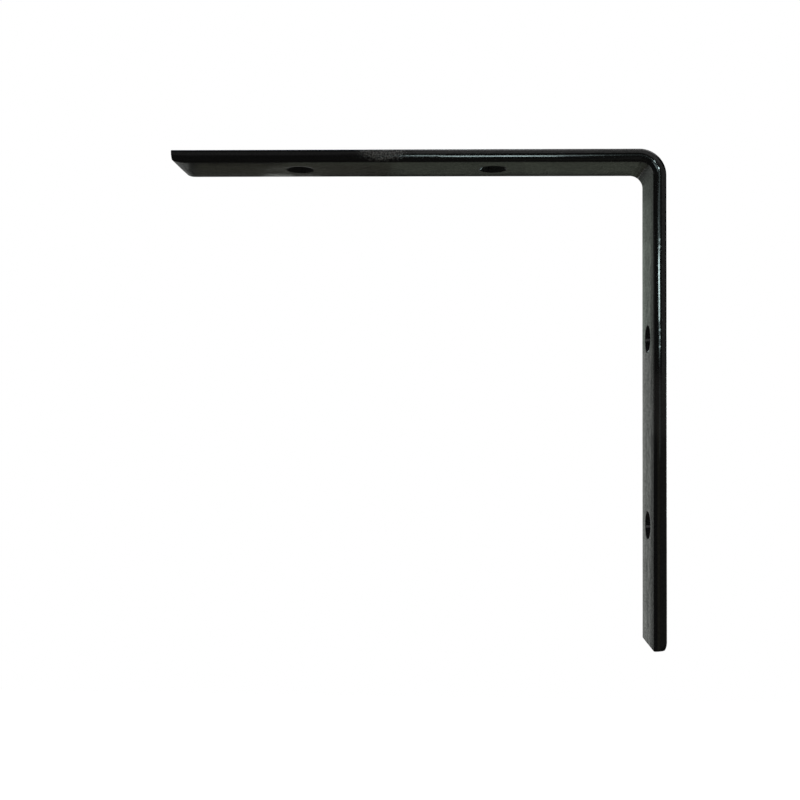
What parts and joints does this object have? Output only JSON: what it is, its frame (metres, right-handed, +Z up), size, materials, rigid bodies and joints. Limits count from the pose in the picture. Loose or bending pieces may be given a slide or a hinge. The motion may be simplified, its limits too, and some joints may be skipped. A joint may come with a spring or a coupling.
{
  "type": "shelf bracket",
  "caption": "Right-angle shelf bracket bent from flat steel bar, black paint, with countersunk screw holes in both legs.",
  "frame": {"origin": "the point where the wall plane and the shelf plane meet, on the middle of the bar's width", "axes": "+X into the wall, so the shelf leg runs along -X; +Z up towards the shelf, so the wall leg hangs along -Z; Y across the bar's width"},
  "size_m": [0.15, 0.02, 0.15],
  "materials": {
    "black_paint": "semi-gloss black paint over hot-rolled steel"
  },
  "bodies": {
    "root": {"bracket": "black_paint"}
  },
  "joints": []
}
